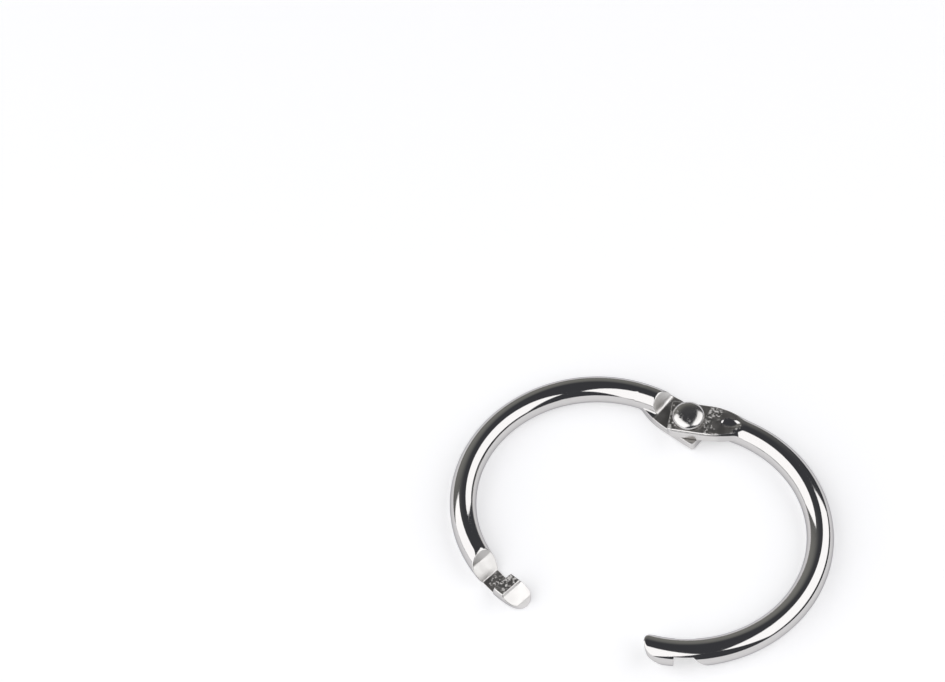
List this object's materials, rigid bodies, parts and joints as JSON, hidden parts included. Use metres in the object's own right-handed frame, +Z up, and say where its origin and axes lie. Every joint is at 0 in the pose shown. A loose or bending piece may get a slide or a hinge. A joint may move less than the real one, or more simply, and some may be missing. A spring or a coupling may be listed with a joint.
{
  "type": "hinged binder ring",
  "caption": "Hinged loose-leaf ring in polished nickel-plated steel: half rings joined by a domed rivet, with a hooked lap catch, lying open.",
  "frame": {"origin": "centre of the open ring's outline, on the surface that it lies on", "axes": "+Z up along the rivet's axis; +Y from the open catch towards the hinge; +X towards the upper arm"},
  "size_m": [0.0406, 0.0303, 0.0035],
  "materials": {
    "nickel_wire": "polished nickel plate, satin where coined",
    "nickel_rivet": "polished nickel plate"
  },
  "bodies": {
    "riveted_half": {"lower_arm": "nickel_wire", "hinge_rivet": "nickel_rivet"},
    "swinging_half": {"upper_arm": "nickel_wire"}
  },
  "joints": [
    {"name": "ring_hinge", "type": "hinge", "parent": "riveted_half", "child": "swinging_half", "pos_m": [0, 0.01258, 0.0014], "axis": [0, 0, 1], "range_deg": [-41, 94]}
  ]
}
